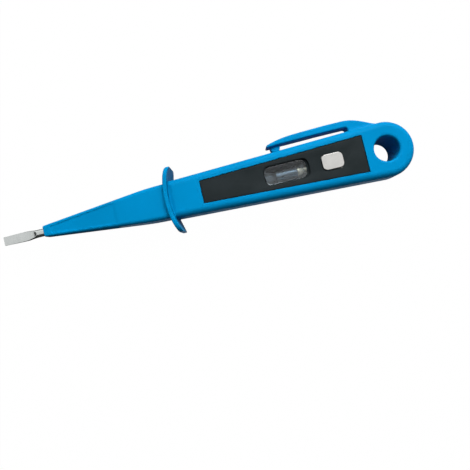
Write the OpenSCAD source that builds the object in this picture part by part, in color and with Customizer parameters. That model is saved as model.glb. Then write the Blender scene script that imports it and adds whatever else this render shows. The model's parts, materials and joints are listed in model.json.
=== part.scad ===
// Pocket voltage tester: a screwdriver blade, a neon lamp under a window and a sprung touch button,
// in a moulded handle with a hang ring, a finger guard, a tapered sleeve and a pocket clip.
// The origin lies on the hang hole's axis, level with the flat back. The blade points along +X,
// the window face looks along +Z and the clip is on the -Y side.

/* [Handle] */
// Outer radius of the hang ring
ring_r = 9.8; // [9:0.1:10.6]
// Radius of the hang hole
hole_r = 4.4; // [4:0.1:5]
// Rounding of the hang hole's rim on the window face
hole_round = 0.8; // [0.4:0.1:1.2]
// Thickness of the handle from its back to its window face
handle_t = 12.5; // [12:0.1:13.5]
// Distance from the hang hole to the guard's outer ends
guard_x = 75.7; // [73:0.1:80]
// Width of the handle where it meets the guard
handle_end_w = 13.5; // [12.5:0.1:14.5]
// Radius of the edge round the window face
face_round = 2.3; // [1.5:0.1:2.6]
// Height of the swept-in lower edge
belly_h = 5.2; // [4:0.1:6]
// Width of the swept-in lower edge
belly_w = 2.8; // [2:0.1:3.4]
// Thickness of the back wall under the inner chamber
floor_t = 1.8; // [1.4:0.1:2]

/* [Guard] */
// Span of the finger guard across the handle
guard_span = 23.6; // [21:0.1:26]
// Thickness of the guard plate
guard_t = 1.5; // [1.2:0.1:2]
// Height of the guard above the back face
guard_h = 14.2; // [13.6:0.1:15.5]
// How far the guard's middle bows towards the blade
guard_bow = 2.3; // [1.6:0.1:3]
// Corner radius of the guard's outline
guard_r = 3.8; // [2:0.1:4.4]
// Rounding of the guard's rim
guard_round = 0.55; // [0.3:0.05:0.7]

/* [Sleeve] */
// Length of the tapered sleeve from the guard's ends to the blade's exit
sleeve_l = 48.7; // [45:0.1:55]
// Width of the sleeve at the guard
sleeve_root_w = 12.4; // [11:0.1:13]
// Height of the sleeve at the guard
sleeve_root_h = 11.6; // [10.6:0.1:12]
// Width of the sleeve's end
sleeve_end_w = 4; // [3.6:0.1:5]
// Height of the sleeve's end
sleeve_end_h = 5.2; // [4.6:0.1:6]
// Rounding of the sleeve's upper edges at the guard
sleeve_round = 1.5; // [1:0.1:2]
// Chamfer of the sleeve's end
sleeve_chamfer = 0.35; // [0.2:0.05:0.5]
// Length of the shallow panel on the sleeve
panel_l = 24.4; // [16:0.1:26]
// Depth of the shallow panel
panel_depth = 0.25; // [0.15:0.05:0.4]
// Margin between the panel and the sleeve's edges
panel_margin = 1.1; // [0.9:0.1:1.3]
// Distance from the panel to the sleeve's end
panel_end_gap = 2.9; // [2:0.1:4]

/* [Cover and window] */
// Distance from the hang hole to the cover's wide end
cover_x = 7.7; // [7.4:0.1:8.4]
// Length of the cover plate
cover_l = 58; // [56:0.5:60]
// Width of the cover at the ring end
cover_ring_w = 12.9; // [12.4:0.1:13.2]
// Width of the cover at the guard end
cover_guard_w = 7.8; // [7.6:0.1:8.4]
// Thickness of the cover plate
cover_t = 1.2; // [1:0.1:1.4]
// How far the cover sits below the window face
cover_step = 0.15; // [0.1:0.05:0.3]
// Width of the ledge that carries the cover
ledge_w = 0.7; // [0.6:0.05:0.8]
// Distance from the hang hole to the middle of the window
window_x = 35.5; // [35:0.1:36.6]
// Length of the window
window_l = 16; // [15:0.1:16.6]
// Width of the window
window_w = 7; // [6.4:0.1:7.2]
// Corner radius of the window
window_r = 2.3; // [1.6:0.1:2.8]
// Thickness of the window lens flange
lens_flange_t = 0.7; // [0.5:0.05:0.9]
// Width of the window lens flange
lens_flange_w = 0.45; // [0.35:0.05:0.5]
// Crown of the window lens
lens_crown = 0.2; // [0.1:0.05:0.3]
// Gap between the lens's raised head and the window's edge
lens_gap = 0.2; // [0.1:0.05:0.3]
// Rounding of the lens's head at the ring end
lens_end_r = 1.2; // [0.8:0.1:1.3]

/* [Touch button] */
// Distance from the hang hole to the middle of the button
button_x = 19.3; // [18.8:0.1:19.8]
// Length of the button along the handle
button_l = 7.5; // [7:0.1:7.8]
// Width of the button
button_w = 5.6; // [5.2:0.1:6]
// Corner radius of the button
button_r = 1.7; // [1.3:0.1:2]
// Rounding of the button's upper edges
button_round = 0.4; // [0.2:0.05:0.5]
// How far the button stands proud of the window face
button_proud = 0.4; // [0.3:0.05:0.6]
// Travel of the button
button_travel = 0.7; // [0.5:0.05:0.8]
// Thickness of the button's flange
button_flange_t = 0.6; // [0.5:0.05:0.8]
// Width of the button's flange outside its head
button_flange_w = 0.5; // [0.4:0.05:0.6]
// Diameter of the stem that centres the return spring
stem_d = 2.6; // [2.2:0.1:2.8]
// Length of the stem below the flange
stem_l = 2.4; // [2:0.1:2.8]

/* [Lamp and resistor] */
// Diameter of the neon lamp's glass
lamp_d = 4.4; // [4:0.1:4.6]
// Length of the lamp over its caps
lamp_l = 19.8; // [19:0.1:20.2]
// How far the lamp reaches behind the window's middle
lamp_back_l = 9.2; // [9:0.1:9.6]
// Length of the lamp's rear cap
lamp_rear_cap_l = 5; // [4.4:0.1:5.6]
// Length of the lamp's front cap
lamp_front_cap_l = 2.6; // [2.2:0.1:3]
// Thickness of the lamp's glass
glass_t = 0.4; // [0.3:0.05:0.5]
// Wall of the metal caps
cap_wall = 0.25; // [0.2:0.05:0.3]
// Diameter of the lamp's electrodes
electrode_d = 1.3; // [1:0.05:1.35]
// Distance between the axes of the electrodes
electrode_pitch = 1.45; // [1.4:0.05:1.8]
// Length of the electrodes in front of the rear cap
electrode_l = 7.2; // [6.5:0.1:7.5]
// Radius of the glass's neck, where it was drawn in
neck_r = 1.75; // [1.6:0.05:1.9]
// Length of the glass's neck
neck_l = 1.8; // [1.4:0.1:2.2]
// Diameter of the resistor's rod
resistor_d = 3.6; // [3.2:0.1:3.8]
// Length of the resistor over its caps
resistor_l = 13.4; // [12.5:0.1:14]
// Length of each resistor cap
resistor_cap_l = 2.6; // [2:0.1:3]

/* [Lamp cradle] */
// Width inside the cradle's trough
cradle_w = 6.4; // [6:0.1:6.6]
// Thickness of the cradle's walls
cradle_wall = 0.6; // [0.5:0.05:0.7]
// Thickness of the cradle's floor
cradle_floor_t = 0.6; // [0.5:0.05:0.8]

/* [Springs and contact strip] */
// Outer diameter of the contact spring
contact_spring_d = 3.6; // [3.4:0.1:3.8]
// Wire diameter of the contact spring
contact_wire = 0.45; // [0.4:0.05:0.5]
// Turns of the contact spring
contact_turns = 9; // [7:1:9]
// Outer diameter of the button's return spring
button_spring_d = 4; // [3.8:0.1:4.2]
// Wire diameter of the return spring
button_wire = 0.4; // [0.35:0.05:0.45]
// Turns of the return spring
button_turns = 6; // [5:1:7]
// Thickness of the contact strip
strip_t = 0.35; // [0.25:0.05:0.4]
// Width of the contact strip
strip_w = 4.4; // [4.2:0.1:4.8]

/* [Blade] */
// Diameter of the blade's shank
shank_d = 2.8; // [2.4:0.1:3]
// Length of the blade outside the sleeve
blade_out = 15.8; // [13.5:0.1:20]
// Width of the tip
tip_w = 3.1; // [2.8:0.1:3.4]
// Thickness of the tip
tip_t = 0.55; // [0.4:0.05:0.7]
// Width of the blade where it is widest
blade_w = 3.5; // [3.4:0.1:3.9]
// Distance from the tip to the widest place
widest_l = 8.3; // [6.5:0.1:9]
// Length of the hollow-ground face
face_l = 12.7; // [10:0.1:13]
// Diameter of the stub that carries the contact spring
stub_d = 2; // [1.8:0.1:2.2]
// Diameter of the head in the chamber
head_d = 3.4; // [3.2:0.1:3.6]
// Thickness of the head
head_t = 0.8; // [0.6:0.1:1]
// Width of the anchor wings inside the sleeve
anchor_w = 4.4; // [4:0.1:5]
// Length of the anchor wings
anchor_l = 4; // [3:0.5:6]
// Thickness of the anchor wings
anchor_t = 1.2; // [1:0.1:1.4]

/* [Pocket clip] */
// Length of the clip's arm from its root axis
clip_l = 26.4; // [24:0.1:29]
// Height of the clip along Z
clip_h = 4.6; // [4:0.1:5]
// Thickness of the clip's arm at its root
clip_t = 2.5; // [2.2:0.1:2.8]
// Clear gap between the handle and the clip
clip_gap = 2.2; // [1.9:0.1:2.6]
// Distance from the hang hole to the clip's root axis along X
clip_root_x = 13.8; // [13.6:0.1:14.6]
// Distance from the hang hole to the closed end of the slot behind the clip
slot_x = 10.3; // [9.8:0.1:10.4]
// Radius of the clip's root bearing face
knuckle_r = 2.2; // [2:0.1:2.4]
// Radius of the nub that grips the cloth
nub_r = 1.8; // [1.6:0.1:2]
// Gap between the nub and the handle
nub_gap = 0.4; // [0.3:0.05:0.6]
// How far the nub's top lies below the arm's
nub_drop = 1.4; // [0.8:0.1:2]
// Rounding of the clip's edges
clip_round = 0.5; // [0.3:0.05:0.6]

/* [Hidden] */

// Overrun of every cut, and the clearances of the fits
over = 1;
fit_gap = 0.05;
mould_gap = 0.02;
cover_gap = 0.12;
bearing_gap = 0.05;

// Fineness of the lofted forms
arc_steps = 24;
belly_steps = 5;
edge_steps = 4;
corner_steps = 4;
rim_steps = 3;
grind_steps = 12;
swell_steps = 6;
wire_sides = 6;
wire_rings = 8;

// The axis that the blade, the spring, the resistor and the lamp share
axis_z = handle_t / 2;

// Handle outline: the ring's circle and the two lines tangent to it
guard_mid_x = guard_x + guard_bow * 0.82;
handle_slope = asin((ring_r - handle_end_w / 2) / guard_x);
function handle_half_w(x) = (ring_r - x * sin(handle_slope)) / cos(handle_slope);

// Cover, ledge and chamber
cover_end_x = cover_x + cover_l;
cover_slope = (cover_ring_w - cover_guard_w) / 2 / cover_l;
function cover_half_w(x) = cover_ring_w / 2 - (x - cover_x) * cover_slope;
cover_top = handle_t - cover_step;
cover_under = cover_top - cover_t;
chamber_x = cover_x + ledge_w;
chamber_end_x = cover_end_x - ledge_w;

// Lamp and resistor lie end to end on the axis, the lamp under the window
cap_d = lamp_d + 2 * cap_wall;
lamp_x = window_x - lamp_back_l;
lamp_mouth_x = lamp_x + lamp_rear_cap_l;
lamp_end_x = lamp_x + lamp_l;
resistor_x = lamp_end_x + fit_gap;
resistor_end_x = resistor_x + resistor_l;
resistor_cap_d = resistor_d + 2 * cap_wall;

// Front bore and the blade's head at its bottom
front_bore_d = resistor_cap_d + 4 * fit_gap;
front_bore_end = guard_x - guard_t * 2;
head_x = front_bore_end - head_t;
sleeve_end_x = guard_x + sleeve_l;
blade_tip_x = sleeve_end_x + blade_out;
forge_x = blade_tip_x - face_l;
widest_x = blade_tip_x - widest_l;
stub_l = stub_d * 0.7;
anchor_x = sleeve_end_x - sleeve_l * 0.7;

// Button, measured down from the cover
button_top = handle_t + button_proud;
flange_top = cover_under - fit_gap;
flange_under = flange_top - button_flange_t;
stop_z = flange_under - button_travel - fit_gap;
strip_top = floor_t + strip_t;

// Window lens
lens_flange_top = cover_under - fit_gap;
rib_t = 0.8;
cover_rib_h = 0.9;
lens_l = window_l - 2 * lens_gap;
lens_w = window_w - 2 * lens_gap;
lens_flange_l = window_l + 2 * lens_flange_w;
lens_flange_under = lens_flange_top - lens_flange_t;

// The cradle stands on the chamber's floor, held down by the cover's ribs
cradle_x = lamp_x + cap_wall;
cradle_l = lamp_l - 2 * cap_wall;
cradle_top = cover_under - cover_rib_h - fit_gap;

// Clip
clip_in = handle_half_w(clip_root_x) + clip_gap;
clip_out = clip_in + clip_t;
clip_mid = (clip_in + clip_out) / 2;
slot_r = clip_gap / 2;
nub_x = clip_root_x + clip_l * 0.87;
nub_y = handle_half_w(nub_x) + nub_gap + nub_r;

// Stations of the clip's arm: place along it, and how far its outer and inner faces have
// drawn in, as shares of the arm's length and of its thickness
arm_shares = [
    [-0.12, 0, 0], [0, 0, 0], [0.2, 0.02, -0.02], [0.4, 0.1, -0.06], [0.55, 0.16, -0.1],
    [0.68, 0.25, -0.13], [0.79, 0.4, -0.16], [0.88, 0.6, -0.2], [0.94, 0.77, -0.24],
    [0.98, 0.92, -0.25], [1, 1.08, -0.18]
];

// Share of the sleeve over which its taper sets in, and the places of its sections
taper_in_share = 0.26;
sleeve_shares = [0, 0.05, 0.1, 0.15, 0.2, 0.26, 1];

function lerp(a, b, t) = a + (b - a) * t;

// A cubic curve through four control points
function bezier(p, t) =
    pow(1 - t, 3) * p[0] + 3 * pow(1 - t, 2) * t * p[1] + 3 * (1 - t) * t * t * p[2] + pow(t, 3) * p[3];

// How much of the sleeve's taper is done at a share of its length
function taper(t) =
    (t < taper_in_share ? t * t / 2 / taper_in_share : t - taper_in_share / 2) / (1 - taper_in_share / 2);

// A closed skin over sections of equally many points, each counter-clockwise seen from the last one
module skin(sections) {
    n = len(sections[0]);
    m = len(sections);
    points = [for (s = sections) for (p = s) p];
    sides = [
        for (j = [0:m - 2])
            for (i = [0:n - 1])
                let (a = j * n + i, b = j * n + (i + 1) % n)
                    each [[a, b + n, b], [a, a + n, b + n]]
    ];
    first = [for (i = [0:n - 1]) i];
    last = [for (i = [n - 1:-1:0]) (m - 1) * n + i];
    polyhedron(points = points, faces = concat([first], sides, [last]));
}

// A cylinder along +X from x
module rod_x(x, length, d) {
    translate([x, 0, axis_z])
        rotate([0, 90, 0])
            cylinder(h = length, d = d, $fn = 64);
}

// A rectangle with exact round corners, centred on the origin
module round_rect(length, width, r) {
    square([length - 2 * r, width], center = true);
    square([length, width - 2 * r], center = true);
    for (sx = [-1, 1])
        for (sy = [-1, 1])
            translate([sx * (length / 2 - r), sy * (width / 2 - r)])
                circle(r = r, $fn = 48);
}

// The cover's outline, grown by gap
module cover_outline(gap) {
    polygon([
        [cover_x - gap, cover_half_w(cover_x) + gap],
        [cover_x - gap, -cover_half_w(cover_x) - gap],
        [cover_end_x + gap, -cover_half_w(cover_end_x) - gap],
        [cover_end_x + gap, cover_half_w(cover_end_x) + gap]
    ]);
}

// The chamber's outline, the cover's less the ledge and a gap
module chamber_outline(gap) {
    polygon([
        [chamber_x + gap, cover_half_w(chamber_x) - ledge_w - gap],
        [chamber_x + gap, -cover_half_w(chamber_x) + ledge_w + gap],
        [chamber_end_x - gap, -cover_half_w(chamber_end_x) + ledge_w + gap],
        [chamber_end_x - gap, cover_half_w(chamber_end_x) - ledge_w - gap]
    ]);
}

// Outline of the handle at one height, drawn in by inset
function handle_outline(z, inset) = concat(
    [for (k = [0:arc_steps])
        let (a = lerp(90 - handle_slope, 270 + handle_slope, k / arc_steps))
            [(ring_r - inset) * cos(a), (ring_r - inset) * sin(a), z]],
    [for (side = [-1, 1])
        [guard_mid_x, side * (handle_half_w(guard_mid_x) - inset / cos(handle_slope)), z]]
);

// The handle with its swept-in lower edge and its rounded face edge
module handle_form() {
    belly = [for (k = [0:belly_steps])
        let (a = 90 * k / belly_steps)
            handle_outline(belly_h * (1 - cos(a)), belly_w * (1 - sin(a)))];
    face = [for (k = [0:edge_steps])
        let (a = 90 * k / edge_steps)
            handle_outline(handle_t - face_round * (1 - sin(a)), face_round * (1 - cos(a)))];
    skin(concat(belly, face));
}

// A section of the guard at y: a slice of its plate with a rounded rim, on the bow's arc
function guard_section(y) =
    let (
        half = guard_span / 2,
        bow_r = (half * half + guard_bow * guard_bow) / 2 / guard_bow,
        middle = guard_x + guard_bow - bow_r + sqrt(bow_r * bow_r - y * y),
        in_corner = max(abs(y) - half + guard_r, 0),
        in_rim = max(abs(y) - half + guard_round, 0),
        h = guard_h / 2 - guard_r + sqrt(max(guard_r * guard_r - in_corner * in_corner, 0)),
        w = guard_t / 2 - guard_round + sqrt(max(guard_round * guard_round - in_rim * in_rim, 0)),
        r = min(guard_round, w * 0.95)
    )
        [for (q = [0:3])
            for (k = [0:rim_steps])
                let (
                    a = 90 * (q + k / rim_steps),
                    sx = (q == 0 || q == 3) ? -1 : 1,
                    sz = q < 2 ? 1 : -1
                )
                    [middle + sx * (w - r) - r * cos(a), y, guard_h / 2 + sz * (h - r) + r * sin(a)]];

// The finger guard: a plate of rounded outline, bowed towards the blade
module guard_form() {
    straight = guard_span / 2 - guard_r;
    turn = [90, 78, 66, 54, 36, 18];
    skin(concat(
        [for (a = turn) guard_section(-straight - guard_r * sin(a))],
        [for (k = [-4:4]) guard_section(straight * k / 4)],
        [for (k = [5:-1:0]) guard_section(straight + guard_r * sin(turn[k]))]
    ));
}

// One section of the sleeve at x, for a share of the taper, drawn in by inset
function sleeve_section(x, taper, inset) =
    let (
        w = lerp(sleeve_root_w, sleeve_end_w, taper) / 2 - inset,
        h = lerp(sleeve_root_h, sleeve_end_h, taper) / 2 - inset,
        r = lerp(sleeve_round, sleeve_round * 0.45, taper),
        bw = lerp(belly_w, sleeve_end_w * 0.2, taper) * 0.8,
        bh = lerp(belly_h, sleeve_end_h * 0.4, taper) * 0.8
    )
        concat(
            [for (k = [0:corner_steps])
                let (a = 90 * k / corner_steps)
                    [x, w - r + r * cos(a), axis_z + h - r + r * sin(a)]],
            [for (k = [0:corner_steps])
                let (a = 90 + 90 * k / corner_steps)
                    [x, r - w + r * cos(a), axis_z + h - r + r * sin(a)]],
            [for (k = [0:corner_steps])
                let (a = 180 + 90 * k / corner_steps)
                    [x, bw - w + bw * cos(a), axis_z - h + bh + bh * sin(a)]],
            [for (k = [0:corner_steps])
                let (a = 270 + 90 * k / corner_steps)
                    [x, w - bw + bw * cos(a), axis_z - h + bh + bh * sin(a)]]
        );

// The tapered sleeve with its chamfered end
taper_x = guard_mid_x - guard_t / 4;
taper_l = sleeve_end_x - sleeve_chamfer - taper_x;
module sleeve_form() {
    skin(concat(
        [for (t = sleeve_shares) sleeve_section(taper_x + taper_l * t, taper(t), 0)],
        [sleeve_section(sleeve_end_x, 1, sleeve_chamfer)]
    ));
}

// The shallow panel on the sleeve, cut parallel to its sloping top
module sleeve_panel() {
    steady_l = taper_l * (1 - taper_in_share / 2);
    fall = (sleeve_root_h - sleeve_end_h) / 2 / steady_l;
    narrow = (sleeve_root_w - sleeve_end_w) / 2 / steady_l;
    end_half = sleeve_end_w / 2 - panel_margin + sleeve_chamfer;
    gap = panel_end_gap - sleeve_chamfer;
    translate([sleeve_end_x - sleeve_chamfer, 0, axis_z + sleeve_end_h / 2 - panel_depth])
        rotate([0, atan(fall), 0])
            linear_extrude(height = over)
                polygon([
                    [-gap, end_half],
                    [-gap - panel_l, end_half + panel_l * narrow],
                    [-gap - panel_l, -end_half - panel_l * narrow],
                    [-gap, -end_half]
                ]);
}

// A section of the clip at x, with rounded edges, between its outer and inner faces
function bar_section(x, outer, inner) =
    let (
        mid = (outer + inner) / 2,
        w = (inner - outer) / 2,
        h = clip_h / 2,
        r = min(clip_round, w * 0.8)
    )
        [for (q = [0:3])
            for (k = [0:2])
                let (
                    a = 90 * q + 45 * k,
                    sy = (q == 0 || q == 3) ? 1 : -1,
                    sz = q < 2 ? 1 : -1
                )
                    [x, mid + sy * (w - r) + r * cos(a), axis_z + sz * (h - r) + r * sin(a)]];

// The clip's root: it swells out of the ring, is slotted behind the arm and has the hollow face
// that the arm's round end bears in
module clip_root_form() {
    start_x = -ring_r / 3;
    core_y = -ring_r / 2;
    curve = [
        [start_x, -sqrt(ring_r * ring_r - start_x * start_x) * 0.95],
        [ring_r * 0.28, -ring_r - clip_gap * 0.55],
        [ring_r * 0.66, -clip_out],
        [clip_root_x - knuckle_r, -clip_out]
    ];
    difference() {
        skin(concat(
            [for (k = [0:8]) let (p = bezier(curve, k / 8)) bar_section(p[0], p[1], core_y)],
            [bar_section(clip_root_x, -clip_out, core_y)]
        ));
        translate([slot_x + slot_r, slot_r - clip_in, axis_z - clip_h])
            cylinder(h = 2 * clip_h, r = slot_r, $fn = 48);
        translate([slot_x + slot_r, -clip_in, axis_z - clip_h])
            cube([clip_root_x, clip_in + core_y + over, 2 * clip_h]);
        translate([clip_root_x, -clip_mid, axis_z - clip_h])
            cylinder(h = 2 * clip_h, r = knuckle_r + bearing_gap, $fn = 64);
    }
}

// The hang hole with its rim on the window face rounded over
module hang_hole_cut() {
    translate([0, 0, -over])
        cylinder(h = handle_t + 2 * over, r = hole_r, $fn = 96);
    translate([0, 0, handle_t - hole_round])
        rotate_extrude($fn = 96)
            difference() {
                square([hole_r + hole_round, hole_round + over]);
                translate([hole_r + hole_round, 0])
                    circle(r = hole_round, $fn = 48);
            }
}

// A cross rib in the chamber with a round seat of diameter d
module saddle(x, d) {
    half = cover_half_w(x) - ledge_w / 2;
    difference() {
        translate([x - rib_t / 2, -half, floor_t - floor_t / 4])
            cube([rib_t, 2 * half, axis_z - floor_t + floor_t / 4]);
        rod_x(x - rib_t, 2 * rib_t, d + 2 * fit_gap);
    }
}

// The two stops under the button's flange, on the chamber's side walls
module button_stops() {
    outer = cover_half_w(button_x) - ledge_w / 2;
    inner = button_w / 2 - fit_gap;
    for (side = [0, 1])
        mirror([0, side, 0])
            translate([button_x - button_l / 2, inner, floor_t - floor_t / 4])
                cube([button_l, outer - inner, stop_z - floor_t + floor_t / 4]);
}

module housing() {
    color("deepskyblue") {
        difference() {
            union() {
                handle_form();
                guard_form();
                sleeve_form();
                clip_root_form();
            }
            hang_hole_cut();
            translate([0, 0, cover_under])
                linear_extrude(height = cover_t + cover_step + over)
                    cover_outline(cover_gap);
            translate([0, 0, floor_t])
                linear_extrude(height = cover_under - floor_t + over)
                    chamber_outline(0);
            rod_x(chamber_end_x - over, front_bore_end - chamber_end_x + over, front_bore_d);
            rod_x(front_bore_end - over, sleeve_end_x - front_bore_end + 2 * over, shank_d + 2 * mould_gap);
            translate([anchor_x - mould_gap, -anchor_w / 2 - mould_gap, axis_z - anchor_t / 2 - mould_gap])
                cube([anchor_l + 2 * mould_gap, anchor_w + 2 * mould_gap, anchor_t + 2 * mould_gap]);
            sleeve_panel();
        }
        saddle(resistor_x + resistor_cap_l / 2, resistor_cap_d);
        saddle(resistor_end_x - resistor_cap_l / 2, resistor_cap_d);
        button_stops();
    }
}

module pocket_clip() {
    color("deepskyblue") {
        difference() {
            skin([for (s = arm_shares)
                bar_section(
                    clip_root_x + clip_l * s[0],
                    clip_t * s[1] - clip_out,
                    -clip_in - clip_t * s[2]
                )]);
            difference() {
                translate([clip_root_x - clip_l / 4, -clip_mid - clip_t, axis_z - clip_h])
                    cube([clip_l / 4, 2 * clip_t, 2 * clip_h]);
                translate([clip_root_x, -clip_mid, axis_z - clip_h - over])
                    cylinder(h = 2 * clip_h + 2 * over, r = knuckle_r, $fn = 64);
            }
        }
        translate([nub_x, -nub_y, axis_z - clip_h / 2 + clip_round / 2])
            cylinder(h = clip_h - clip_round / 2 - nub_drop, r = nub_r, $fn = 48);
    }
}

// A rib under the cover that holds one end of the lens flange
module cover_rib(x) {
    half = cover_half_w(x) - ledge_w - cover_gap - rib_t * cover_slope;
    translate([x - rib_t / 2, -half, cover_under - cover_rib_h])
        cube([rib_t, 2 * half, cover_rib_h + cover_t / 4]);
}

module cover_plate() {
    rib_reach = window_l / 2 + lens_flange_w + fit_gap + rib_t / 2;
    color("#32373a") {
        translate([0, 0, cover_under])
            linear_extrude(height = cover_t)
                difference() {
                    cover_outline(0);
                    translate([window_x, 0])
                        round_rect(window_l, window_w, window_r);
                    translate([button_x, 0])
                        round_rect(
                            button_l + 2 * cover_gap, button_w + 2 * cover_gap,
                            button_r + cover_gap
                        );
                }
        cover_rib(window_x - rib_reach);
        cover_rib(window_x + rib_reach);
    }
}

// The space under a rounded end at the ring side, over the lens's head
module lens_end_space() {
    end_x = window_x - lens_l / 2;
    translate([end_x + lens_end_r, -window_w, lens_flange_under])
        cube([window_l, 2 * window_w, handle_t]);
    translate([end_x + lens_end_r, window_w, handle_t - lens_end_r])
        rotate([90, 0, 0])
            cylinder(h = 2 * window_w, r = lens_end_r, $fn = 64);
    translate([end_x, -window_w, lens_flange_under])
        cube([window_l, 2 * window_w, handle_t - lens_end_r - lens_flange_under]);
}

module window_lens() {
    rise = handle_t - lens_flange_top;
    crown_r = (lens_w * lens_w / 4 + lens_crown * lens_crown) / 2 / lens_crown;
    color("lightsteelblue", 0.5) {
        intersection() {
            translate([window_x, 0, lens_flange_top])
                linear_extrude(height = rise)
                    round_rect(lens_l, lens_w, window_r - lens_gap);
            translate([window_x - window_l, 0, handle_t - crown_r])
                rotate([0, 90, 0])
                    cylinder(h = 2 * window_l, r = crown_r, $fn = 180);
            lens_end_space();
        }
        translate([window_x, 0, lens_flange_under])
            linear_extrude(height = lens_flange_t)
                round_rect(lens_flange_l, window_w + 2 * lens_flange_w, window_r + lens_flange_w);
    }
}

module contact_button() {
    rise = button_top - flange_under;
    color("gainsboro")
        translate([button_x, 0, 0]) {
            intersection() {
                translate([0, 0, flange_under])
                    linear_extrude(height = rise)
                        round_rect(button_l, button_w, button_r);
                translate([0, button_w / 2, flange_under])
                    rotate([90, 0, 0])
                        linear_extrude(height = button_w)
                            round_rect(button_l, 2 * rise, button_round);
                translate([-button_l / 2, 0, flange_under])
                    rotate([90, 0, 90])
                        linear_extrude(height = button_l)
                            round_rect(button_w, 2 * rise, button_round);
            }
            translate([0, 0, flange_under])
                linear_extrude(height = button_flange_t)
                    round_rect(
                        button_l + 2 * button_flange_w, button_w + 2 * button_flange_w,
                        button_r + button_flange_w
                    );
            translate([0, 0, flange_under - stem_l])
                cylinder(h = stem_l + button_flange_t / 2, d = stem_d, $fn = 48);
        }
}

// Middle of the wire at each ring of a spring that stands on +Z
function coil_middles(length, d, wire, turns) =
    [for (k = [0:turns * wire_rings])
        let (a = 360 * k / wire_rings, f = k / (turns * wire_rings))
            [(d - wire) / 2 * cos(a),
             (d - wire) / 2 * sin(a),
             lerp(wire / 2 + fit_gap, length - wire / 2 - fit_gap, f)]];

// A spring of one unbroken wire
module coil(length, d, wire, turns) {
    rise = (length - wire) / turns;
    climb = atan(rise / PI / (d - wire));
    middles = coil_middles(length, d, wire, turns);
    skin([for (k = [0:len(middles) - 1])
        let (a = 360 * k / wire_rings)
            [for (s = [0:wire_sides - 1])
                let (b = 360 * s / wire_sides)
                    middles[k] + wire / 2 * (
                        cos(b) * [cos(a), sin(a), 0]
                        + sin(b) * [-sin(climb) * sin(a), sin(climb) * cos(a), -cos(climb)]
                    )]]);
}

// The least gap between the turns of a coil, measured between the rings' middles
function least_gap(middles, wire) =
    min([for (i = [0:len(middles) - 1])
        for (j = [i + wire_rings / 2:1:len(middles) - 1])
            norm(middles[i] - middles[j])]) - wire;

button_spring_l = flange_under - strip_top;
contact_spring_l = head_x - resistor_end_x;
echo(button_spring_gap = least_gap(
    coil_middles(button_spring_l, button_spring_d, button_wire, button_turns), button_wire));
echo(contact_spring_gap = least_gap(
    coil_middles(contact_spring_l, contact_spring_d, contact_wire, contact_turns), contact_wire));

module button_spring() {
    color("silver")
        translate([button_x, 0, strip_top])
            coil(button_spring_l, button_spring_d, button_wire, button_turns);
}

module contact_spring() {
    color("silver")
        translate([resistor_end_x, 0, axis_z])
            rotate([0, 90, 0])
                coil(contact_spring_l, contact_spring_d, contact_wire, contact_turns);
}

// The strip runs under the button's spring and rises behind the lamp as a sprung leaf
module contact_strip() {
    foot_x = button_x - button_l / 2;
    tip_x = lamp_x - fit_gap;
    bend_x = tip_x - lamp_d * 0.35;
    leaf_top = axis_z + cap_d * 0.45;
    color("goldenrod")
        translate([0, strip_w / 2, 0])
            rotate([90, 0, 0])
                linear_extrude(height = strip_w)
                    polygon([
                        [foot_x, floor_t],
                        [bend_x + strip_t, floor_t],
                        [tip_x, axis_z - strip_t],
                        [tip_x, axis_z + strip_t],
                        [tip_x - strip_t * 2, leaf_top],
                        [tip_x - strip_t * 3, leaf_top],
                        [tip_x - strip_t, axis_z + strip_t],
                        [tip_x - strip_t, axis_z - strip_t],
                        [bend_x, strip_top],
                        [foot_x, strip_top]
                    ]);
}

// Outline of the lamp's glass, drawn in by inset: a tube, its neck and its round end
module glass_outline(inset) {
    neck_x = lamp_mouth_x + electrode_l;
    end_x = lamp_end_x - cap_wall - fit_gap;
    r = lamp_d / 2;
    foot_x = lamp_x + cap_wall + fit_gap + (inset > 0 ? lamp_rear_cap_l / 2 : 0);
    polygon(concat(
        [[0, foot_x], [r - inset, foot_x]],
        [for (a = [0:30:360]) [lerp(neck_r, r, (1 + cos(a)) / 2) - inset, neck_x + neck_l * a / 360]],
        [for (a = [0:15:75]) [(r - inset) * cos(a), end_x - r + (r - inset) * sin(a)]],
        [[0, end_x - inset]]
    ));
}

module lamp_glass() {
    color("lightcyan", 0.5)
        translate([0, 0, axis_z])
            rotate([0, 90, 0])
                rotate_extrude($fn = 72)
                    difference() {
                        glass_outline(0);
                        glass_outline(glass_t);
                    }
}

// Two rods that stand in the glass foot
module lamp_electrodes() {
    start_x = lamp_x + cap_wall + lamp_rear_cap_l / 2 + 2 * fit_gap;
    color("dimgray")
        for (side = [-1, 1])
            translate([0, side * electrode_pitch / 2, 0])
                rod_x(start_x, lamp_mouth_x + electrode_l - start_x, electrode_d);
}

// A cross rib in the cradle with a round seat for one of the lamp's caps
module cradle_rib(x) {
    difference() {
        translate([x - rib_t / 2, -cradle_w / 2 - cradle_wall / 2, floor_t + cradle_floor_t / 2])
            cube([rib_t, cradle_w + cradle_wall, axis_z - floor_t - cradle_floor_t / 2]);
        rod_x(x - rib_t, 2 * rib_t, cap_d + 2 * fit_gap);
    }
}

// The dark trough under the window that holds the lamp
module lamp_cradle() {
    color("#32373a") {
        difference() {
            translate([cradle_x, -cradle_w / 2 - cradle_wall, floor_t])
                cube([cradle_l, cradle_w + 2 * cradle_wall, cradle_top - floor_t]);
            translate([cradle_x - over, -cradle_w / 2, floor_t + cradle_floor_t])
                cube([cradle_l + 2 * over, cradle_w, cradle_top]);
        }
        cradle_rib(lamp_x + lamp_rear_cap_l / 2);
        cradle_rib(lamp_end_x - lamp_front_cap_l / 2);
    }
}

module lamp_rear_cap() {
    color("darkkhaki")
        difference() {
            rod_x(lamp_x, lamp_rear_cap_l, cap_d);
            rod_x(lamp_x + cap_wall, lamp_rear_cap_l, lamp_d + 2 * mould_gap);
        }
}

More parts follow.
